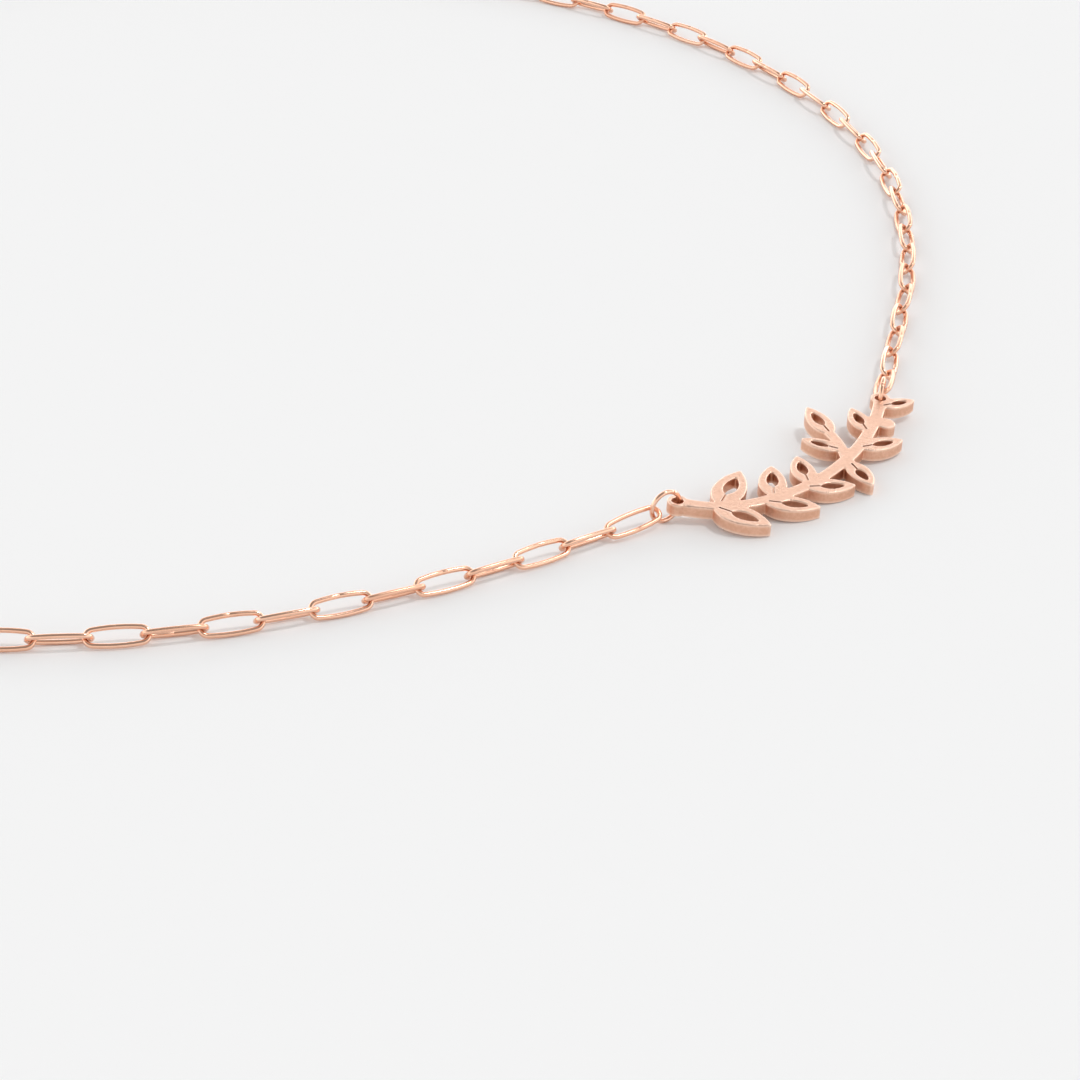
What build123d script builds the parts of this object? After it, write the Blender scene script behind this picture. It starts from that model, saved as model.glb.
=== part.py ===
"""A nameplate necklace lying on a table in its loop, with the clasp closed.

The frame: X runs along the plate from its left eyelet to its right one, Y runs from the plate
into the loop, Z is up and the table is at Z = 0. The plate is at the front and the clasp at the
back, and the origin is under the middle of the whole necklace. Sizes are in millimetres and
angles in degrees.
"""
import os
from math import asin, cos, degrees, radians, sin, sqrt

from build123d import *

# Paperclip links, long ovals bent from round wire, which lean to one side and to the other in
# turn, some a little more than others. The link at each jump ring leans less, to pass the ring.
LINK_LENGTH = 5.43
LINK_WIDTH = 1.98
LINK_WIRE = 0.43
LINK_END_RADIUS = 0.66
LINK_LEAN = 44.0
LEAN_SWAY = 4.0
SWAY_STEP = 137.0
END_LEAN = 30.0
LINKS_A_SIDE = 48

# Jump rings at the plate and the clasp. They stand upright and hold these off the table.
RING_OUTSIDE = 3.1
RING_WIRE = 0.4
RING_SLIT = 2.0
RING_SLIT_ANGLE = 118.0
RING_LINK_HEIGHT = 1.2
AIR = 0.25

# The plate: an openwork branch cut from sheet. Its front edge rests on the table.
PLATE_AT = Vector(9.29, -68.9, 0)
EYELET_SPACING = 25.8
EYELET_OUTSIDE = 1.7
EYELET_HOLE = 1.0
EYELET_LIFT = 0.75
EYELET_TO_RING = 1.165
PLATE_THICKNESS = 1.05
PLATE_REACH = 8.9
EDGE_ROUND = 0.12
NOOK_ROUND = 0.12
TIP_ROUND = 0.18
STEM_WIDTH = 1.1
SPRIG_WIDTH = 0.95
BERRY_DIAMETER = 1.6
LEAF_BELLY = 0.42
SLOT_START = 0.32
SLOT_LENGTH = 0.48
SLOT_WIDTH = 0.42
VEIN_MIDDLE = 0.225
VEIN_LENGTH = 0.23
VEIN_WIDTH = 0.18
VEIN_DEPTH = 0.12

# The main stem runs through these points, from one eyelet to the other
STEM_POINTS = [(-12.9, 0.0), (-8.8, -4.0), (-1.5, -5.3), (6.2, -3.7), (12.9, 0.0)]
STEM_START = (0.45, -1.0)
# Columns: place along the stem from 0 to 1, heading, length, width
STEM_LEAVES = [
    (0.10, -74, 5.4, 2.7),
    (0.12, 25, 6.0, 2.8),
    (0.25, -52, 4.9, 2.4),
    (0.29, 44, 5.0, 2.4),
    (0.40, -36, 4.5, 2.2),
    (0.425, 55, 4.5, 2.1),
    (0.69, -22, 4.4, 2.0),
    (0.79, 62, 4.2, 1.9),
    (0.95, -22, 3.5, 1.6),
]
# The sprig crosses the stem, with leaves to the back and one to the front
SPRIG_POINTS = [(2.6, -5.6), (3.4, -4.0), (5.2, -0.4)]
SPRIG_START = (0.25, 1.0)
SPRIG_LEAVES = [
    (0.10, -110, 4.1, 2.0),
    (0.40, 110, 3.8, 1.7),
    (0.83, 67, 4.9, 2.1),
]
# Columns: place along the stem, heading, distance from the stem's middle
BERRIES = [
    (0.86, -62, 1.0),
]

# The clasp: a plain closed spring ring with its knob and eye, flat on its two jump rings
CLASP_OUTSIDE = 5.8
CLASP_WIRE = 1.0
CLASP_LIFT = 0.55
EYE_OUTSIDE = 2.3
EYE_WIRE = 0.6
KNOB_DIAMETER = 0.7
KNOB_LENGTH = 0.9
KNOB_ANGLE = 115.0
CLASP_TO_RING = 0.2
EYE_TO_RING = 0.3

# The chain's route on each side, from its eyelet outwards: its heading at the eyelet, a
# straight stretch, then arcs as radius and sweep, which is positive where they turn left. One
# more arc on each side closes the loop.
RIGHT_HEADING = 34.0
RIGHT_STRAIGHT = 21.0
RIGHT_ARCS = [(100.0, 14.0), (67.0, 44.0)]
LEFT_HEADING = 167.5
LEFT_STRAIGHT = 13.0
LEFT_ARCS = [(95.0, -14.0), (62.0, -18.0)]
CLASP_HEADING = 186.5

# What follows from the sizes above
LINK_SPREAD = (LINK_WIDTH - LINK_WIRE) / 2
LINK_REACH = (LINK_LENGTH - LINK_WIRE) / 2
LINK_END_AT = LINK_REACH - LINK_END_RADIUS
LINK_BOW = LINK_SPREAD - LINK_END_RADIUS
LINK_SIDE_RADIUS = (LINK_END_AT**2 - LINK_END_RADIUS**2 + LINK_SPREAD**2) / (2 * LINK_BOW)
LINK_TURN = degrees(asin(LINK_END_AT / (LINK_SIDE_RADIUS - LINK_END_RADIUS)))
LINK_HEIGHT = LINK_SPREAD * sin(radians(LINK_LEAN + LEAN_SWAY)) + LINK_WIRE / 2
RING_RADIUS = (RING_OUTSIDE - RING_WIRE) / 2
CLASP_RADIUS = (CLASP_OUTSIDE - CLASP_WIRE) / 2
EYE_RADIUS = (EYE_OUTSIDE - EYE_WIRE) / 2
EYE_OFFSET = CLASP_OUTSIDE / 2 + EYE_RADIUS
CLASP_SPAN = CLASP_RADIUS + EYE_OFFSET + EYE_RADIUS
CLASP_HEIGHT = CLASP_LIFT + CLASP_WIRE / 2
KNOB_END = CLASP_OUTSIDE / 2 + KNOB_LENGTH
PLATE_TILT = degrees(asin(EYELET_LIFT / PLATE_REACH))
PLATE_UP = Vector(0, -sin(radians(PLATE_TILT)), cos(radians(PLATE_TILT)))
UP = Vector(0, 0, 1)
SMOOTH = 8.0
TOUCH = 0.001


def compass(heading):
    """The level unit vector at a heading, counted from +X towards +Y."""
    return Vector(cos(radians(heading)), sin(radians(heading)), 0)


def arc_step(heading, sweep):
    """The step from start to end of an arc of radius 1 that sets out at a heading."""
    side = 90 if sweep > 0 else -90
    return compass(heading + sweep - side) - compass(heading - side)


def route_end(eyelet, heading, straight, arcs):
    """Where a straight stretch and arcs end, and the heading there."""
    point = eyelet + compass(heading) * straight
    for radius, sweep in arcs:
        point += arc_step(heading, sweep) * radius
        heading += sweep
    return point, heading


def closing_arcs(right_end, right_heading, left_end, left_heading):
    """The last arc of each side, which bring the two routes to the two ends of the clasp."""
    right_turn = CLASP_HEADING - right_heading
    left_turn = CLASP_HEADING - 180 - left_heading
    right_step = arc_step(right_heading, right_turn)
    left_step = arc_step(left_heading, left_turn)
    gap = left_end - right_end - compass(CLASP_HEADING) * CLASP_SPAN
    area = right_step.cross(left_step).Z
    right_arc = (gap.cross(left_step).Z / area, right_turn)
    left_arc = (gap.cross(right_step).Z / area, left_turn)
    return right_arc, left_arc


def make_route(eyelet, heading, straight, arcs):
    """One side's route as a line on the table."""
    with BuildLine() as route:
        last = Line(eyelet, eyelet + compass(heading) * straight)
        for radius, sweep in arcs:
            last = JernArc(last @ 1, last % 1, radius, sweep)
    return route.wires()[0]


def link_plane(centre, forward, lean):
    """The plane of a link: its X along the chain, its Y leaning up from the left side."""
    left = UP.cross(forward).normalized()
    upward = forward.cross(left).normalized()
    leaning = left * cos(radians(lean)) + upward * sin(radians(lean))
    return Plane(origin=centre, x_dir=forward, z_dir=forward.cross(leaning))


def ring_plane(anchor, heading, upright, reach):
    """The plane of a jump ring that stands on the table with its centre reach past anchor."""
    outward = compass(heading)
    axis = outward.cross(upright).normalized()
    rise = axis.cross(outward).normalized()
    standing = RING_RADIUS * rise.Z + RING_WIRE / 2
    centre = anchor + outward * reach
    centre += rise * ((standing - centre.Z) / rise.Z)
    return Plane(origin=centre, x_dir=outward, z_dir=axis)


def ring_to_link(ring):
    """How far past a ring's centre the wire of the first link's end is, at its height."""
    drop = ring.origin.Z - RING_LINK_HEIGHT
    return sqrt(RING_RADIUS**2 - drop**2) - (LINK_WIRE + RING_WIRE) / 2 - AIR


def make_link():
    """One paperclip link about the origin, with its length along X and its sides bowed."""
    start = Vector(0, LINK_SPREAD - LINK_SIDE_RADIUS) + compass(90 + LINK_TURN) * LINK_SIDE_RADIUS
    with BuildPart() as link:
        with BuildLine():
            far = JernArc(start, compass(LINK_TURN), LINK_SIDE_RADIUS, -2 * LINK_TURN)
            right = JernArc(far @ 1, far % 1, LINK_END_RADIUS, 2 * LINK_TURN - 180)
            near = JernArc(right @ 1, right % 1, LINK_SIDE_RADIUS, -2 * LINK_TURN)
            JernArc(near @ 1, near % 1, LINK_END_RADIUS, 2 * LINK_TURN - 180)
        with BuildSketch(Plane(origin=far @ 0, z_dir=far % 0)):
            Circle(LINK_WIRE / 2)
        sweep()
    return link.part


def make_chain(name, route, first_ring, last_ring, first_reach, last_reach):
    """The links of one side, evenly spaced along its route between the two rings' wires."""
    first_end = first_reach + ring_to_link(first_ring)
    last_end = route.length - last_reach - ring_to_link(last_ring)
    pitch = (last_end - first_end - 2 * LINK_REACH) / (LINKS_A_SIDE - 1)
    joint_heights = [RING_LINK_HEIGHT] + [LINK_HEIGHT] * (LINKS_A_SIDE - 1) + [RING_LINK_HEIGHT]
    link = make_link()
    with BuildPart() as chain:
        for number in range(LINKS_A_SIDE):
            distance = first_end + LINK_REACH + number * pitch
            start_height, end_height = joint_heights[number], joint_heights[number + 1]
            point = route.position_at(distance, position_mode=PositionMode.LENGTH)
            along = route.tangent_at(distance, position_mode=PositionMode.LENGTH)
            centre = point + UP * (start_height + end_height) / 2
            forward = (along * pitch + UP * (end_height - start_height)).normalized()
            at_ring = number in (0, LINKS_A_SIDE - 1)
            sway = LEAN_SWAY * sin(radians(number * SWAY_STEP))
            lean = END_LEAN if at_ring else LINK_LEAN + sway
            side = 1 if number % 2 else -1
            with Locations(link_plane(centre, forward, side * lean).location):
                add(link)
    chain.part.label = name
    export_step(chain.part, f"parts/{name}.step")
    gap = LINK_LENGTH - 2 * LINK_WIRE - pitch
    print(f"{name}: route {route.length:.1f}, pitch {pitch:.3f}, gap between wires {gap:.3f}")


def make_jump_ring(name, ring):
    """A round wire ring with a narrow slit where its ends meet, a little back from its top."""
    start = RING_SLIT_ANGLE + RING_SLIT / 2
    radial = ring.x_dir * cos(radians(start)) + ring.y_dir * sin(radians(start))
    with BuildPart() as jump_ring:
        with BuildSketch(Plane(origin=ring.origin, x_dir=radial, z_dir=ring.z_dir.cross(radial))):
            with Locations((RING_RADIUS, 0)):
                Circle(RING_WIRE / 2)
        revolve(axis=Axis(ring.origin, ring.z_dir), revolution_arc=360 - RING_SLIT)
    jump_ring.part.label = name
    export_step(jump_ring.part, f"parts/{name}.step")


def stem_line(points, start):
    """A smooth line through points, as arcs that run on from each other."""
    with BuildLine() as line:
        last = TangentArc(points[0], points[1], tangent=start)
        for point in points[2:]:
            last = TangentArc(last @ 1, point, tangent=last % 1)
    return line


def leaf_shape(length, width, round_foot):
    """A pointed oval from the origin along X, with its tip and maybe its foot rounded."""
    with BuildSketch() as leaf:
        with BuildLine():
            for side in (width / 2, -width / 2):
                TangentArc((LEAF_BELLY * length, side), (0, 0), tangent=(-1, 0))
                TangentArc((LEAF_BELLY * length, side), (length, 0), tangent=(1, 0))
        make_face()
        ends = leaf.vertices().group_by(Axis.X)
        fillet(ends[-1] + ends[0] if round_foot else ends[-1], TIP_ROUND)
    return leaf.sketch


def corners(outline):
    """The corners of an outline: where two of its edges meet at an angle."""
    edges = outline.order_edges()
    turns = zip(edges, edges[1:] + edges[:1])
    points = [first @ 1 for first, second in turns if (first % 1).get_angle(second % 0) > SMOOTH]
    return [
        vertex
        for vertex in outline.vertices()
        if any((Vector(vertex.X, vertex.Y, vertex.Z) - point).length < TOUCH for point in points)
    ]


def leaves_on(line, rows):
    """The leaves of a stem: each leaf's place and length, its outline and its slot."""
    path = line.wires()[0]
    leaves = []
    for along, heading, length, width in rows:
        outline = leaf_shape(length, width, False)
        slot = leaf_shape(SLOT_LENGTH * length, SLOT_WIDTH * width, True)
        leaves.append((Location(path @ along, (0, 0, heading)), length, outline, slot))
    return leaves


os.makedirs("parts", exist_ok=True)

# The nameplate: one sheet with leaves and a berry along its stem, slots in the leaves, rounded
# edges at its front, and a short engraved vein at the foot of each leaf
stem = stem_line(STEM_POINTS, STEM_START)
sprig = stem_line(SPRIG_POINTS, SPRIG_START)
leaves = leaves_on(stem, STEM_LEAVES) + leaves_on(sprig, SPRIG_LEAVES)
berries = [
    (stem.wires()[0] @ along) + compass(heading) * distance
    for along, heading, distance in BERRIES
]
eyelets = [(-EYELET_SPACING / 2, 0), (EYELET_SPACING / 2, 0)]
plate_back = Plane(origin=PLATE_AT + UP * EYELET_LIFT, x_dir=(1, 0, 0), z_dir=PLATE_UP)
with BuildPart() as nameplate:
    with BuildSketch(plate_back) as outline:
        trace(stem.edges(), STEM_WIDTH)
        trace(sprig.edges(), SPRIG_WIDTH)
        for place, length, leaf, slot in leaves:
            with Locations(place):
                add(leaf)
        with Locations(*eyelets):
            Circle(EYELET_OUTSIDE / 2)
        with Locations(*berries):
            Circle(BERRY_DIAMETER / 2)
        fillet(corners(outline.face().outer_wire()), NOOK_ROUND)
        for place, length, leaf, slot in leaves:
            with Locations(place * Location((SLOT_START * length, 0, 0))):
                add(slot, mode=Mode.SUBTRACT)
        with Locations(*eyelets):
            Circle(EYELET_HOLE / 2, mode=Mode.SUBTRACT)
    extrude(amount=PLATE_THICKNESS)
    front = nameplate.faces().sort_by(Axis((0, 0, 0), PLATE_UP))[-1]
    fillet([edge for wire in front.inner_wires() for edge in wire.edges()], EDGE_ROUND)
    front = nameplate.faces().sort_by(Axis((0, 0, 0), PLATE_UP))[-1]
    fillet(front.outer_wire().edges(), EDGE_ROUND)
    with BuildSketch(plate_back.offset(PLATE_THICKNESS)):
        for place, length, leaf, slot in leaves:
            with Locations(place * Location((VEIN_MIDDLE * length, 0, 0))):
                SlotOverall(VEIN_LENGTH * length, VEIN_WIDTH)
    extrude(amount=-VEIN_DEPTH, mode=Mode.SUBTRACT)
nameplate.part.label = "nameplate"
export_step(nameplate.part, "parts/nameplate.step")

# The two routes, each closed by its last arc
right_eyelet = PLATE_AT + Vector(EYELET_SPACING / 2, 0)
left_eyelet = PLATE_AT - Vector(EYELET_SPACING / 2, 0)
right_end = route_end(right_eyelet, RIGHT_HEADING, RIGHT_STRAIGHT, RIGHT_ARCS)
left_end = route_end(left_eyelet, LEFT_HEADING, LEFT_STRAIGHT, LEFT_ARCS)
right_arc, left_arc = closing_arcs(*right_end, *left_end)
print(f"closing radii: right {right_arc[0]:.2f}, left {left_arc[0]:.2f}")
right_route = make_route(right_eyelet, RIGHT_HEADING, RIGHT_STRAIGHT, RIGHT_ARCS + [right_arc])
left_route = make_route(left_eyelet, LEFT_HEADING, LEFT_STRAIGHT, LEFT_ARCS + [left_arc])

# The jump rings: two through the plate's eyelets, one round the clasp's ring, one in its eye
plate_middle = PLATE_UP * (PLATE_THICKNESS / 2) + UP * EYELET_LIFT
clasp_level = UP * CLASP_HEIGHT
ring_right = ring_plane(right_eyelet + plate_middle, RIGHT_HEADING, PLATE_UP, EYELET_TO_RING)
ring_left = ring_plane(left_eyelet + plate_middle, LEFT_HEADING, PLATE_UP, EYELET_TO_RING)
clasp_ring = ring_plane((right_route @ 1) + clasp_level, CLASP_HEADING + 180, UP, CLASP_TO_RING)
end_ring = ring_plane((left_route @ 1) + clasp_level, CLASP_HEADING, UP, EYE_TO_RING)
make_jump_ring("jump_ring_right", ring_right)
make_jump_ring("jump_ring_left", ring_left)
make_jump_ring("clasp_ring", clasp_ring)
make_jump_ring("end_ring", end_ring)

make_chain("chain_right", right_route, ring_right, clasp_ring, EYELET_TO_RING, CLASP_TO_RING)
make_chain("chain_left", left_route, ring_left, end_ring, EYELET_TO_RING, EYE_TO_RING)

# The clasp's own X runs from where the right chain holds it to where the left one does
clasp_origin = (right_route @ 1) + clasp_level
with BuildPart(Plane(origin=clasp_origin, x_dir=compass(CLASP_HEADING))) as clasp:
    with Locations((CLASP_RADIUS, 0)):
        Torus(CLASP_RADIUS, CLASP_WIRE / 2)
    with Locations((CLASP_RADIUS + EYE_OFFSET, 0)):
        Torus(EYE_RADIUS, EYE_WIRE / 2)
    with Locations(Location((CLASP_RADIUS, 0, 0), (0, 0, KNOB_ANGLE))):
        with Locations((KNOB_END, 0)):
            Sphere(KNOB_DIAMETER / 2)
        with Locations(Location((KNOB_END, 0, 0), (0, -90, 0))):
            Cylinder(
                KNOB_DIAMETER / 2,
                KNOB_END - CLASP_RADIUS,
                align=(Align.CENTER, Align.CENTER, Align.MIN),
            )
clasp.part.label = "clasp"
export_step(clasp.part, "parts/clasp.step")
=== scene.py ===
"""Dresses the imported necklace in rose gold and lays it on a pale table.

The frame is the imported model's: metres, +X along the plate, +Y from the plate into the loop, +Z up
from the table, and the origin under the middle of the necklace.
"""
from __future__ import annotations

import logging
import math
import random
from dataclasses import dataclass
from enum import Enum
from typing import Any

import bmesh
import bpy
import numpy as np
from mathutils import Matrix, Vector


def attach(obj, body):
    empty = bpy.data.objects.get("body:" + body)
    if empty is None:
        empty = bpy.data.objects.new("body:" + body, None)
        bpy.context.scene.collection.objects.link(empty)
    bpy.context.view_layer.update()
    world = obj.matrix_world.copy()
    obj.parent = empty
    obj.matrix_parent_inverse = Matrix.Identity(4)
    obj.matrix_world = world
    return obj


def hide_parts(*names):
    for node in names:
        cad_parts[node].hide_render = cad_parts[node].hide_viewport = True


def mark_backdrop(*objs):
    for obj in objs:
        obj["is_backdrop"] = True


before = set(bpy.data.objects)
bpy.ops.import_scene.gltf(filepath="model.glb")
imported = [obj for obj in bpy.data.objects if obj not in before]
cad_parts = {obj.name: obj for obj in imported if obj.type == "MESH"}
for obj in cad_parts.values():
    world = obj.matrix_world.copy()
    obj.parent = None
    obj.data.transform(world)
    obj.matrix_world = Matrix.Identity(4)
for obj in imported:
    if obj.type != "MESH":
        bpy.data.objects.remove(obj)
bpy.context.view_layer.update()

log = logging.getLogger("necklace")
Colour = tuple[float, float, float, float]

ROOT_BODY = "root"
MM = 0.001

# How high the plate's eyelets are, and how far from the front edge that it rests on
EYELET_LIFT = 0.75 * MM
PLATE_REACH = 8.9 * MM


class Side(Enum):
    """The two sides of the necklace, as seen from in front of its wearer."""

    LEFT = "left"
    RIGHT = "right"


class Slot(Enum):
    """The record's material slots."""

    PLATE = "plate_metal"
    CHAIN = "chain_metal"
    CLASP = "clasp_metal"


class Signal:
    """A shader socket that reads as a number in a Python expression."""

    def __init__(self, tree: ShaderTree, socket: bpy.types.NodeSocket) -> None:
        """Wraps a socket of a tree."""
        self.tree = tree
        self.socket = socket

    def __add__(self, other: Signal | float) -> Signal:
        """The sum of two values."""
        return self.tree.maths("ADD", self, other)

    def __sub__(self, other: Signal | float) -> Signal:
        """This value less another."""
        return self.tree.maths("SUBTRACT", self, other)

    def __rsub__(self, other: Signal | float) -> Signal:
        """Another value less this one."""
        return self.tree.maths("SUBTRACT", other, self)

    def __mul__(self, other: Signal | float) -> Signal:
        """The product of two values."""
        return self.tree.maths("MULTIPLY", self, other)

    __radd__ = __add__
    __rmul__ = __mul__


class ShaderTree:
    """The node tree of a material or a world, written as expressions.

    Attributes:
        OPEN_FROM, OPEN_TO: How open a place is where a hollow is deepest and where it ends.
        RIM_FROM, RIM_TO: How deep the metal is where a rim starts and where it is fullest.
    """

    MIX_FACTOR, MIX_FIRST, MIX_SECOND, MIX_COLOUR = 0, 6, 7, 2
    OPEN_FROM, OPEN_TO = 0.15, 0.75
    RIM_FROM, RIM_TO = 0.95, 0.6

    def __init__(self, owner: bpy.types.Material | bpy.types.World) -> None:
        """Empties the owner's tree."""
        owner.use_nodes = True
        self.nodes = owner.node_tree.nodes
        self.links = owner.node_tree.links
        self.nodes.clear()

    def add(
        self,
        kind: str,
        settings: dict[str, Any] | None = None,
        sockets: dict[str | int, Any] | None = None,
        output: str | int = 0,
    ) -> Signal:
        """Adds a node.

        Args:
            kind: The node's type.
            settings: The node's own properties, which are set first.
            sockets: A value or a Signal for each input, by name or number.
            output: The output that is wanted, by name or number.

        Returns:
            The wanted output.
        """
        node = self.nodes.new(kind)
        for name, value in (settings or {}).items():
            setattr(node, name, value)
        for name, value in (sockets or {}).items():
            if isinstance(value, Signal):
                self.links.new(value.socket, node.inputs[name])
            else:
                node.inputs[name].default_value = value
        return Signal(self, node.outputs[output]) if node.outputs else Signal(self, None)

    def maths(self, operation: str, first: Signal | float, second: Signal | float) -> Signal:
        """Adds a Math node for two operands."""
        return self.add("ShaderNodeMath", {"operation": operation}, {0: first, 1: second})

    def noise(self, vector: Signal, grain: float, detail: float, roughness: float = 0.5) -> Signal:
        """Noise from 0 to 1 whose features are about grain metres wide."""
        sockets = {"Vector": vector, "Scale": 1 / grain, "Detail": detail, "Roughness": roughness}
        return self.add("ShaderNodeTexNoise", None, sockets)

    def ease(self, value: Signal, start: float, end: float, low: float, high: float) -> Signal:
        """Takes a value from low to high, smoothly, as it goes from start to end."""
        span = {"From Min": start, "From Max": end, "To Min": low, "To Max": high}
        settings = {"interpolation_type": "SMOOTHSTEP"}
        return self.add("ShaderNodeMapRange", settings, {"Value": value, **span})

    def blend(self, factor: Signal, first: Any, second: Any) -> Signal:
        """Mixes two colours."""
        sockets = {self.MIX_FACTOR: factor, self.MIX_FIRST: first, self.MIX_SECOND: second}
        return self.add("ShaderNodeMix", {"data_type": "RGBA"}, sockets, self.MIX_COLOUR)

    def hollow_shade_mask(self, reach: float, samples: int = 8) -> Signal:
        """Where painted shade goes: from 0 in the open to 1 deep in the piece's own slots and
        joints, reach metres wide.
        """
        settings = {"only_local": True, "samples": samples}
        open_sky = self.add("ShaderNodeAmbientOcclusion", settings, {"Distance": reach}, "AO")
        return self.ease(open_sky, self.OPEN_FROM, self.OPEN_TO, 1.0, 0.0)

    def rims(self, reach: float, samples: int = 8) -> Signal:
        """From 0 on the flats to 1 along the piece's own edges, reach metres wide."""
        settings = {"only_local": True, "inside": True, "samples": samples}
        depth = self.add("ShaderNodeAmbientOcclusion", settings, {"Distance": reach}, "AO")
        return self.ease(depth, self.RIM_FROM, self.RIM_TO, 0.0, 1.0)

    def size(self, value: Signal) -> Signal:
        """A value without its sign."""
        return self.maths("ABSOLUTE", value, 0.0)

    def along(self, vector: Signal, direction: Vector) -> Signal:
        """How far a vector goes along a fixed direction."""
        settings = {"operation": "DOT_PRODUCT"}
        return self.add("ShaderNodeVectorMath", settings, {0: vector, 1: direction}, "Value")

    def flattened(self, vector: Signal, normal: Vector) -> Signal:
        """The vector without its part along a normal."""
        settings = {"operation": "PROJECT"}
        upright = self.add("ShaderNodeVectorMath", settings, {0: vector, 1: normal})
        return self.add("ShaderNodeVectorMath", {"operation": "SUBTRACT"}, {0: vector, 1: upright})


@dataclass(frozen=True)
class RoseGoldWire:
    """Drawn wire with a soft polish, slightly uneven from link to link.

    Attributes:
        name: The material's name.
        bright: The colour of clean plating.
        deep: The copper tone of duller links and patches.
        hollow_shade: The dark brown painted as shade where links touch.
        tone_share: How much of the copper tone a whole link takes on.
        patch_share: How much of it a patch takes on.
        hollow_shade_share: How strong the painted shade is where it is deepest.
        hollow_shade_reach: How far the painted shade spreads from where links touch, in metres.
        roughness: The polish.
        uneven: How far the polish varies.
        grain_roughness: How much the fine grain dulls it.
        ripple: How deep the hand-worked ripples of the wire are, in metres.
        grain_height: How deep the fine grain is, as a share of the ripples.
        patch_size: How wide the patches are, in metres.
        ripple_size: How wide the ripples are, in metres.
        grain_size: How wide the fine grain is, in metres.
    """

    name: str
    bright: Colour = (0.94, 0.6, 0.445, 1.0)
    deep: Colour = (0.78, 0.40, 0.25, 1.0)
    hollow_shade: Colour = (0.40, 0.15, 0.07, 1.0)
    tone_share: float = 0.4
    patch_share: float = 0.4
    hollow_shade_share: float = 0.8
    hollow_shade_reach: float = 0.3 * MM
    roughness: float = 0.22
    uneven: float = 0.14
    grain_roughness: float = 0.06
    ripple: float = 0.008 * MM
    grain_height: float = 0.12
    patch_size: float = 1.6 * MM
    ripple_size: float = 0.45 * MM
    grain_size: float = 0.06 * MM

    def material(self) -> bpy.types.Material:
        """Writes the wire's material."""
        material = bpy.data.materials.new(self.name)
        tree = ShaderTree(material)
        place = tree.add("ShaderNodeTexCoord", output="Object")
        tone = tree.add("ShaderNodeAttribute", {"attribute_name": WirePart.TONE}, output="Fac")
        patches = tree.noise(place, self.patch_size, detail=2)
        ripples = tree.noise(place, self.ripple_size, detail=3)
        grain = tree.noise(place, self.grain_size, detail=2)
        dulled = tone * self.tone_share + patches * self.patch_share
        plated = tree.blend(dulled, self.bright, self.deep)
        # Painted shade: the colour darkens to dark brown where the links touch and crowd each other,
        # where shade falls.
        hollow_shaded = tree.hollow_shade_mask(self.hollow_shade_reach) * self.hollow_shade_share
        colour = tree.blend(hollow_shaded, plated, self.hollow_shade)
        varied = (patches + tone - 1) * self.uneven
        roughness = varied + grain * self.grain_roughness + self.roughness
        height = ripples + grain * self.grain_height
        dent = {"Height": height, "Distance": self.ripple, "Strength": 1.0}
        bump = tree.add("ShaderNodeBump", None, dent)
        surface = {"Base Color": colour, "Metallic": 1.0, "Roughness": roughness, "Normal": bump}
        shader = tree.add("ShaderNodeBsdfPrincipled", None, surface)
        tree.add("ShaderNodeOutputMaterial", None, {"Surface": shader})
        return material


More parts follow.
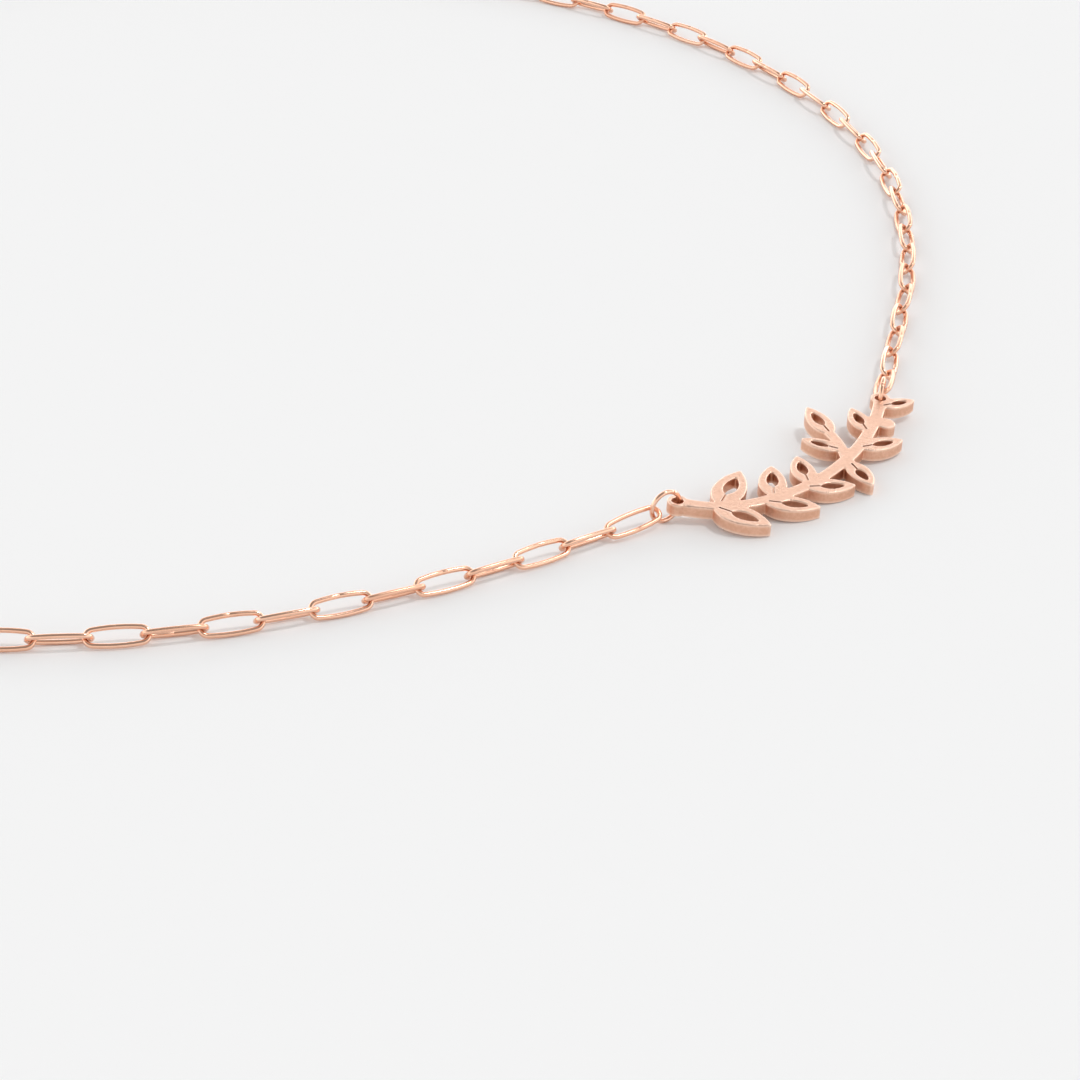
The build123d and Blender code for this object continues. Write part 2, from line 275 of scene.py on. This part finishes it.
@dataclass(frozen=True)
class RoseGoldPlate:
    """Cut sheet with a satin front, rounded rims with a painted highlight and finely striated walls.

    Attributes:
        name: The material's name.
        up: The front's normal.
        bright: The colour of the front.
        rim_highlight: The paler colour painted along the rims as a highlight.
        deep: The deeper copper tone of the mottling, also painted on the walls as shade.
        hollow_shade: The dark brown painted as shade deep in the slots.
        wall_shade_share: How much of the copper tone the walls take on as painted shade.
        mottling: How far the patches, dimples and grain spread the tone.
        speckle: How much more the dimples and grain count in that than the patches.
        clean: How much of the mottling stays clean and bright.
        rim_highlight_share: How strongly the painted highlight lightens the rims.
        rim_reach: How wide the rims are, in metres.
        hollow_shade_share: How strong the painted shade is where it is deepest.
        hollow_shade_reach: How wide a slot may be and still get painted shade, in metres.
        front_roughness: The satin of the front.
        wall_roughness: The duller satin of the walls.
        uneven: How far the satin varies.
        rim_highlight_matt: How far the rims turn from metal to matt, so that their painted highlight
            shows from every side.
        grain: How deep the grain is, in metres.
        dimple: How deep the softer dimples are, in metres.
        striation: How deep the walls' striations are, in metres.
        patch_size, dimple_size, grain_size, striation_size: How wide each is, in metres.
        WALL_FROM, WALL_TO: How far a face looks up where it counts as wall and as front.
    """

    name: str
    up: Vector
    bright: Colour = (0.94, 0.595, 0.44, 1.0)
    rim_highlight: Colour = (0.98, 0.75, 0.62, 1.0)
    deep: Colour = (0.76, 0.435, 0.295, 1.0)
    hollow_shade: Colour = (0.34, 0.12, 0.05, 1.0)
    wall_shade_share: float = 0.8
    mottling: float = 0.9
    speckle: float = 1.5
    clean: float = 1.95
    rim_highlight_share: float = 0.75
    rim_reach: float = 0.32 * MM
    hollow_shade_share: float = 0.9
    hollow_shade_reach: float = 0.9 * MM
    front_roughness: float = 0.3
    wall_roughness: float = 0.4
    uneven: float = 0.14
    rim_highlight_matt: float = 0.3
    grain: float = 0.01 * MM
    dimple: float = 0.03 * MM
    striation: float = 0.015 * MM
    patch_size: float = 2.2 * MM
    dimple_size: float = 0.3 * MM
    grain_size: float = 0.11 * MM
    striation_size: float = 0.075 * MM

    WALL_FROM = 0.35
    WALL_TO = 0.9

    def material(self) -> bpy.types.Material:
        """Writes the plate's material."""
        material = bpy.data.materials.new(self.name)
        tree = ShaderTree(material)
        place = tree.add("ShaderNodeTexCoord", output="Object")
        facing = tree.along(tree.add("ShaderNodeTexCoord", output="Normal"), self.up)
        wall = tree.ease(tree.size(facing), self.WALL_FROM, self.WALL_TO, 1.0, 0.0)
        level = tree.flattened(place, self.up)
        grain = tree.noise(place, self.grain_size, detail=3, roughness=0.7)
        dimples = tree.noise(place, self.dimple_size, detail=2)
        streaks = tree.noise(level, self.striation_size, detail=2, roughness=0.6)
        patches = tree.noise(place, self.patch_size, detail=2)
        rims = tree.rims(self.rim_reach)
        mottle = patches + dimples * self.speckle + grain * self.speckle
        # Painted shade: the walls are darkened towards the deeper copper tone; the mottling adds a
        # tone that varies at random.
        wall_shade_and_mottle = wall * self.wall_shade_share + (mottle - self.clean) * self.mottling
        plated = tree.blend(wall_shade_and_mottle, self.bright, self.deep)
        # Painted highlight: a pale colour is laid along the rims' edges.
        rim_highlighted = tree.blend(rims * self.rim_highlight_share, plated, self.rim_highlight)
        # Painted shade: the colour darkens to dark brown deep in the slots, where shade falls.
        hollow_shaded = tree.hollow_shade_mask(self.hollow_shade_reach) * self.hollow_shade_share
        colour = tree.blend(hollow_shaded, rim_highlighted, self.hollow_shade)
        duller = wall * (self.wall_roughness - self.front_roughness)
        varied = (patches + grain - 1) * self.uneven
        roughness = duller + varied + self.front_roughness
        height = grain * self.grain + dimples * self.dimple + streaks * wall * self.striation
        dent = {"Height": height, "Distance": 1.0, "Strength": 1.0}
        bump = tree.add("ShaderNodeBump", None, dent)
        surface = {
            "Base Color": colour,
            # The rims turn partly matt, so their painted highlight shows from every side.
            "Metallic": 1 - rims * self.rim_highlight_matt,
            "Roughness": roughness,
            "Normal": bump,
        }
        shader = tree.add("ShaderNodeBsdfPrincipled", None, surface)
        tree.add("ShaderNodeOutputMaterial", None, {"Surface": shader})
        return material


@dataclass(frozen=True)
class PaleTable:
    """The matt pale top that the necklace lies on."""

    name: str = "pale_table"
    colour: Colour = (0.885, 0.885, 0.885, 1.0)

    def material(self) -> bpy.types.Material:
        """Writes the table's material."""
        material = bpy.data.materials.new(self.name)
        tree = ShaderTree(material)
        shader = tree.add("ShaderNodeBsdfDiffuse", None, {"Color": self.colour})
        tree.add("ShaderNodeOutputMaterial", None, {"Surface": shader})
        return material


@dataclass
class Solid:
    """One loose solid of a CAD node, as the middles, areas and normals of its faces.

    Attributes:
        WELD: How near points of the node's mesh are merged, in metres.
        END_FACING: How far a ring's face looks round the ring if it is an end at the slit.
    """

    middles: np.ndarray
    areas: np.ndarray
    normals: np.ndarray

    WELD = 0.0001 * MM
    END_FACING = 0.95

    @classmethod
    def of_node(cls, node: str) -> list[Solid]:
        """Reads the loose solids of a node.

        Args:
            node: The CAD node's name.

        Returns:
            One Solid for each loose part of the node's mesh.
        """
        merged = bmesh.new()
        merged.from_mesh(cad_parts[node].data)
        bmesh.ops.remove_doubles(merged, verts=merged.verts, dist=cls.WELD)
        waiting = set(merged.faces)
        solids = []
        while waiting:
            edge_of_walk = [waiting.pop()]
            faces = []
            while edge_of_walk:
                face = edge_of_walk.pop()
                faces.append(face)
                near = {other for edge in face.edges for other in edge.link_faces} & waiting
                waiting -= near
                edge_of_walk.extend(near)
            middles = np.array([face.calc_center_median() for face in faces])
            areas = np.array([face.calc_area() for face in faces])
            normals = np.array([face.normal for face in faces])
            solids.append(cls(middles, areas, normals))
        merged.free()
        return solids

    def own_frame(self) -> Matrix:
        """The solid's place: its middle, with X along its length and Z across its flat."""
        centre = np.average(self.middles, axis=0, weights=self.areas)
        spread = np.cov((self.middles - centre).T, aweights=self.areas)
        across, _, along = np.linalg.eigh(spread)[1].T
        return place_matrix(centre, along, across)

    def round_centre(self) -> np.ndarray:
        """The centre of a ring, found from its round because its slit shifts its mean."""
        mean = self.middles.mean(axis=0)
        offsets = self.middles - mean
        rows = np.hstack([2 * offsets, np.full((len(offsets), 1), MM)])
        return mean + np.linalg.lstsq(rows, (offsets**2).sum(1), rcond=None)[0][:3]

    def slit_frame(self) -> Matrix:
        """The place of a slit ring: its middle, with X through the slit and Z along its axis."""
        axis = np.array(self.own_frame().col[2][:3])
        centre = self.round_centre()
        outward = self.middles - centre
        outward -= np.outer(outward @ axis, axis)
        tangents = np.cross(axis, outward / np.linalg.norm(outward, axis=1)[:, None])
        ends = np.abs((self.normals * tangents).sum(1)) > self.END_FACING
        slit = np.average(outward[ends], axis=0, weights=self.areas[ends])
        return place_matrix(centre, slit / np.linalg.norm(slit), axis)


def place_matrix(centre: np.ndarray, along: np.ndarray, axis: np.ndarray) -> Matrix:
    """The matrix that takes X to along, Z to axis and the origin to centre."""
    columns = np.eye(4)
    columns[:3, 0], columns[:3, 1], columns[:3, 2] = along, np.cross(axis, along), axis
    columns[:3, 3] = centre
    return Matrix(columns.tolist())


class WireSweep:
    """A round wire that is bent on from its last section."""

    WELD = 0.001 * MM

    def __init__(self, wire: float, sides: int, start: Vector, heading: Vector) -> None:
        """Sets the first section.

        Args:
            wire: The wire's diameter.
            sides: How many corners the section has.
            start: The middle of the section.
            heading: The wire's direction there.
        """
        self.mesh = bmesh.new()
        self.place = start.copy()
        turn = heading.to_track_quat("Z", "Y").to_matrix().to_4x4()
        placed = Matrix.Translation(start) @ turn
        bmesh.ops.create_circle(self.mesh, segments=sides, radius=wire / 2, matrix=placed)
        self.first = self.mesh.edges[:]
        self.last = self.first

    def bend(self, centre: Vector, angle: float, steps: int) -> None:
        """Bends the wire round a centre, about Z, by an angle in radians."""
        turned = bmesh.ops.spin(
            self.mesh,
            geom=[*self.section(), *self.last],
            cent=centre,
            axis=(0, 0, 1),
            angle=angle,
            steps=steps,
        )["geom_last"]
        self.last = [item for item in turned if isinstance(item, bmesh.types.BMEdge)]
        self.place = centre + Matrix.Rotation(angle, 3, "Z") @ (self.place - centre)

    def section(self) -> list[bmesh.types.BMVert]:
        """The points of the last section."""
        return list({point for edge in self.last for point in edge.verts})

    def swell(self, factor: float) -> None:
        """Scales the last section about its own middle."""
        about = Matrix.Translation(-self.place)
        bmesh.ops.scale(self.mesh, vec=(factor,) * 3, space=about, verts=self.section())

    def join(self) -> None:
        """Joins the last section to the first, where they meet."""
        bmesh.ops.remove_doubles(self.mesh, verts=self.mesh.verts, dist=self.WELD)

    def cap(self, rounding: float) -> None:
        """Closes both ends with flat faces whose edges are rounded."""
        for rim in (self.first, self.last):
            bmesh.ops.contextual_create(self.mesh, geom=rim)
            bmesh.ops.bevel(
                self.mesh,
                geom=rim,
                offset=rounding,
                segments=2,
                profile=0.5,
                affect="EDGES",
                material=-1,
            )

    def finished(self, name: str) -> bpy.types.Mesh:
        """Turns the faces outward and writes the mesh."""
        bmesh.ops.recalc_face_normals(self.mesh, faces=self.mesh.faces)
        mesh = bpy.data.meshes.new(name)
        self.mesh.to_mesh(mesh)
        self.mesh.free()
        return mesh


class WirePart:
    """What every wire piece shares: it stands for CAD nodes and has a tone for each solid."""

    TONE = "wire_tone"
    SMOOTH_ANGLE = math.radians(40)

    @classmethod
    def show(
        cls,
        name: str,
        shape: bpy.types.Mesh,
        places: list[Matrix],
        finish: bpy.types.Material,
        slot: Slot,
    ) -> bpy.types.Object:
        """Makes one piece from copies of a shape.

        Args:
            name: The CAD node that the piece stands for, which names the piece too.
            shape: The mesh of one solid.
            places: Where its copies go.
            finish: The piece's material.
            slot: The record's slot of that material; not used.

        Returns:
            The piece, which rides on the necklace's one body.
        """
        gathered = bmesh.new()
        for place in places:
            known = len(gathered.verts)
            gathered.from_mesh(shape)
            gathered.verts.ensure_lookup_table()
            bmesh.ops.transform(gathered, matrix=place, verts=gathered.verts[known:])
        mesh = bpy.data.meshes.new(name)
        gathered.to_mesh(mesh)
        gathered.free()
        mesh.shade_smooth()
        mesh.set_sharp_from_angle(angle=cls.SMOOTH_ANGLE)
        draw = random.Random(name)
        tones = np.repeat([draw.random() for _ in places], len(shape.vertices))
        mesh.attributes.new(cls.TONE, "FLOAT", "POINT").data.foreach_set("value", tones)
        mesh.materials.append(finish)
        piece = bpy.data.objects.new(f"{name}_wire", mesh)
        bpy.context.scene.collection.objects.link(piece)
        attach(piece, ROOT_BODY)
        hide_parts(name)
        log.info("%s: %d solids, %d faces", piece.name, len(places), len(mesh.polygons))
        return piece


@dataclass
class PaperclipChain:
    """One side's chain of long oval links, each soldered in the middle of one of its sides.

    Attributes:
        side: Which side of the necklace it is.
        length: A link's outside length.
        width: A link's outside width.
        wire: The wire's diameter.
        end_radius: The radius of a link's ends, to the middle of the wire.
        seam: How long the solder seam is.
        seam_depth: How far the wire narrows there, as a share of its diameter.
        section_sides: How many corners the wire's section has.
        side_steps: How many steps a link's long side has.
        end_steps: How many steps each of its ends has.
    """

    side: Side
    length: float = 5.43 * MM
    width: float = 1.98 * MM
    wire: float = 0.43 * MM
    end_radius: float = 0.66 * MM
    seam: float = 0.09 * MM
    seam_depth: float = 0.06
    section_sides: int = 14
    side_steps: int = 6
    end_steps: int = 10

    def link(self) -> bpy.types.Mesh:
        """The mesh of one link about the origin, with its length along X."""
        spread = (self.width - self.wire) / 2
        end_at = (self.length - self.wire) / 2 - self.end_radius
        bow = spread - self.end_radius
        side_radius = (end_at**2 - self.end_radius**2 + spread**2) / (2 * bow)
        turn = math.asin(end_at / (side_radius - self.end_radius))
        seam_turn = self.seam / 2 / side_radius
        near, far = Vector((0, side_radius - spread, 0)), Vector((0, spread - side_radius, 0))
        end = Vector((end_at, 0, 0))
        start = Vector((0, -spread, 0))
        sweep = WireSweep(self.wire, self.section_sides, start, Vector((1, 0, 0)))
        sweep.swell(1 - self.seam_depth)
        sweep.bend(near, seam_turn, 1)
        sweep.swell(1 / (1 - self.seam_depth))
        sweep.bend(near, turn - seam_turn, self.side_steps // 2)
        sweep.bend(end, math.pi - 2 * turn, self.end_steps)
        sweep.bend(far, 2 * turn, self.side_steps)
        sweep.bend(-end, math.pi - 2 * turn, self.end_steps)
        sweep.bend(near, turn - seam_turn, self.side_steps // 2)
        sweep.bend(near, seam_turn, 1)
        sweep.swell(1 - self.seam_depth)
        sweep.join()
        return sweep.finished(f"link_{self.side.value}")

    def build(self, finish: bpy.types.Material) -> bpy.types.Object:
        """Lays the links where the CAD chain has them."""
        node = f"chain_{self.side.value}"
        places = [solid.own_frame() for solid in Solid.of_node(node)]
        return WirePart.show(node, self.link(), places, finish, Slot.CHAIN)


@dataclass
class JumpRing:
    """A round wire ring, cut at one place, with the cut's edges a little rounded.

    Attributes:
        node: The CAD node that it stands for.
        outside: The ring's outside diameter.
        wire: The wire's diameter.
        slit: How wide the cut is, in radians.
        rounding: How far the cut's edges are rounded.
        section_sides: How many corners the wire's section has.
        steps: How many steps the ring has.
    """

    node: str
    outside: float = 3.1 * MM
    wire: float = 0.4 * MM
    slit: float = math.radians(2)
    rounding: float = 0.03 * MM
    section_sides: int = 18
    steps: int = 72

    def ring(self) -> bpy.types.Mesh:
        """The mesh of the ring about the origin, with its slit on +X."""
        radius = (self.outside - self.wire) / 2
        turn = Matrix.Rotation(self.slit / 2, 3, "Z")
        start, heading = turn @ Vector((radius, 0, 0)), turn @ Vector((0, 1, 0))
        sweep = WireSweep(self.wire, self.section_sides, start, heading)
        sweep.bend(Vector(), math.tau - self.slit, self.steps)
        sweep.cap(self.rounding)
        return sweep.finished(f"{self.node}_shape")

    def build(self, finish: bpy.types.Material) -> bpy.types.Object:
        """Hangs the ring where the CAD ring is."""
        places = [solid.slit_frame() for solid in Solid.of_node(self.node)]
        return WirePart.show(self.node, self.ring(), places, finish, Slot.CHAIN)


@dataclass
class Dressed:
    """A CAD node that keeps its own mesh and gets a better finish."""

    node: str

    def build(self, finish: bpy.types.Material) -> bpy.types.Object:
        """Puts the finish in every material slot of the node's object."""
        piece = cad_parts[self.node]
        for worn in piece.material_slots:
            worn.material = finish
        log.info("%s: %d faces", piece.name, len(piece.data.polygons))
        return piece


@dataclass
class Table:
    """The pale table top.

    Attributes:
        reach: The round top's radius, in metres.
        corners: How many corners its edge has.
    """

    reach: float = 4.0
    corners: int = 96

    def build(self, finish: bpy.types.Material) -> bpy.types.Object:
        """Makes the top as one round face under the necklace."""
        top = bmesh.new()
        bmesh.ops.create_circle(top, cap_ends=True, segments=self.corners, radius=self.reach)
        mesh = bpy.data.meshes.new("table_top")
        top.to_mesh(mesh)
        top.free()
        mesh.materials.append(finish)
        table = bpy.data.objects.new("table_top", mesh)
        bpy.context.scene.collection.objects.link(table)
        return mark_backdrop(table)


@dataclass
class PhotoCamera:
    """The photograph's camera, as fitted to the links on the table.

    Attributes:
        place: Where it stands, in millimetres.
        heading: The level direction it looks in.
        dip: How far it looks down, in degrees.
        focal_pixels: Its focal length in pixels of the image.
        image_pixels: The image's width.
        sensor: The sensor's width in millimetres.
        nearest, farthest: The distances it sees between, in metres.
    """

    place: tuple[float, float, float] = (-197.6, -243.8, 144.4)
    heading: tuple[float, float, float] = (0.7134, 0.7008, 0.0)
    dip: float = 29.29
    focal_pixels: float = 3639.8
    image_pixels: float = 1080.0
    sensor: float = 36.0
    nearest: float = 0.01
    farthest: float = 20.0

    def level(self) -> Vector:
        """The level direction it looks in, as a unit vector."""
        return Vector(self.heading).normalized()

    def forward(self) -> Vector:
        """The direction it looks in."""
        dip = math.radians(self.dip)
        return self.level() * math.cos(dip) - Vector((0, 0, math.sin(dip)))

    def build(self) -> bpy.types.Object:
        """Makes it the scene's camera."""
        data = bpy.data.cameras.new("photo_camera")
        data.sensor_width = self.sensor
        data.lens = self.sensor * self.focal_pixels / self.image_pixels
        data.clip_start, data.clip_end = self.nearest, self.farthest
        camera = bpy.data.objects.new("photo_camera", data)
        camera.location = Vector(self.place) * MM
        camera.rotation_euler = self.forward().to_track_quat("-Z", "Y").to_euler()
        bpy.context.scene.collection.objects.link(camera)
        bpy.context.scene.camera = camera
        return camera


@dataclass(frozen=True)
class Lamp:
    """A soft lamp far away.

    Attributes:
        name: The lamp's name.
        strength: How strongly it lights a face turned to it.
        bearing: How far it stands to the right of straight behind the necklace, in degrees.
        height: Its height above the horizon, in degrees.
        width: Its width as seen from the necklace, in degrees.
    """

    name: str
    strength: float
    bearing: float
    height: float
    width: float = 7.0

    def build(self, level: Vector) -> None:
        """Hangs the lamp, for a camera that looks along level."""
        data = bpy.data.lights.new(self.name, "SUN")
        data.energy = self.strength
        data.angle = math.radians(self.width)
        lamp = bpy.data.objects.new(self.name, data)
        heading = Matrix.Rotation(-math.radians(self.bearing), 3, "Z") @ level
        rise = math.radians(self.height)
        towards = heading * math.cos(rise) + Vector((0, 0, math.sin(rise)))
        lamp.rotation_euler = (-towards).to_track_quat("-Z", "Y").to_euler()
        bpy.context.scene.collection.objects.link(lamp)


@dataclass
class Studio:
    """A bright tent with a dim roof and a window low behind, and a soft lamp.

    Attributes:
        level: The level unit vector from the camera to the necklace.
        front: How bright the tent is on the camera's side.
        back: How bright it is behind the necklace.
        sides: How much brighter it is to the left and the right.
        roof: How bright it is overhead.
        roof_tilt: How far the dim part's middle leans to the camera's side, in degrees.
        window: How much brighter it is low down behind the necklace.
        lamps: The lamps that draw the shadows.
        WALL_SPAN: Where the front turns into the back, as the sky's part along the view.
        SIDE_SPAN: Where the sides brighten, as the sky's part across the view.
        ROOF_SPAN: Where the roof starts and is full, as the sky's part towards its middle.
        WINDOW_HEIGHT: Where the window starts to fade and ends, as the sky's part upward.
        WINDOW_SPAN: Where the window starts and is full, as the sky's part along the view.
    """

    WALL_SPAN = (-0.3, 0.3)
    SIDE_SPAN = (0.45, 0.85)
    ROOF_SPAN = (0.64, 0.82)
    WINDOW_HEIGHT = (0.3, 0.5)
    WINDOW_SPAN = (0.1, 0.5)

    level: Vector
    front: float = 1.05
    back: float = 0.8
    sides: float = 0.46
    roof: float = 0.32
    roof_tilt: float = 15.0
    window: float = 1.6
    lamps: tuple[Lamp, ...] = (Lamp("main_lamp", 0.64, bearing=84, height=66, width=8),)

    def build(self) -> None:
        """Lights the scene."""
        world = bpy.data.worlds.new("tent")
        tree = ShaderTree(world)
        sky = tree.add("ShaderNodeTexCoord", output="Generated")
        up = Vector((0, 0, 1))
        across = self.level.cross(up)
        behind = tree.along(sky, self.level)
        beside = tree.size(tree.along(sky, across))
        height = tree.along(sky, up)
        wings = tree.ease(beside, *self.SIDE_SPAN, 0.0, self.sides)
        walls = tree.ease(behind, *self.WALL_SPAN, self.front, self.back) + wings
        lean = Matrix.Rotation(math.radians(self.roof_tilt), 3, across)
        roofed = tree.ease(tree.along(sky, lean @ up), *self.ROOF_SPAN, 0.0, 1.0)
        low = tree.ease(height, *self.WINDOW_HEIGHT, self.window, 0.0)
        window = low * tree.ease(behind, *self.WINDOW_SPAN, 0.0, 1.0)
        glow = walls * (1 - roofed) + roofed * self.roof + window
        lit = tree.add("ShaderNodeBackground", None, {"Color": (1, 1, 1, 1), "Strength": glow})
        tree.add("ShaderNodeOutputWorld", None, {"Surface": lit})
        bpy.context.scene.world = world
        for lamp in self.lamps:
            lamp.build(self.level)
        bpy.context.scene.view_settings.view_transform = "Standard"


def plate_up() -> Vector:
    """The normal of the plate's front."""
    tilt = math.asin(EYELET_LIFT / PLATE_REACH)
    return Vector((0, -math.sin(tilt), math.cos(tilt)))


def main() -> None:
    """Builds the table, the light, the camera and every piece."""
    logging.basicConfig(level=logging.INFO, format="%(name)s: %(message)s")
    camera = PhotoCamera()
    camera.build()
    Studio(camera.level()).build()
    Table().build(PaleTable().material())

    wire = RoseGoldWire("rose_gold_wire").material()
    for side in Side:
        PaperclipChain(side).build(wire)
    for node in ("jump_ring_left", "jump_ring_right", "clasp_ring", "end_ring"):
        JumpRing(node).build(wire)
    Dressed("nameplate").build(RoseGoldPlate("rose_gold_plate", plate_up()).material())
    Dressed("clasp").build(RoseGoldWire("rose_gold_clasp", uneven=0.06).material())


if __name__ == "__main__":
    main()
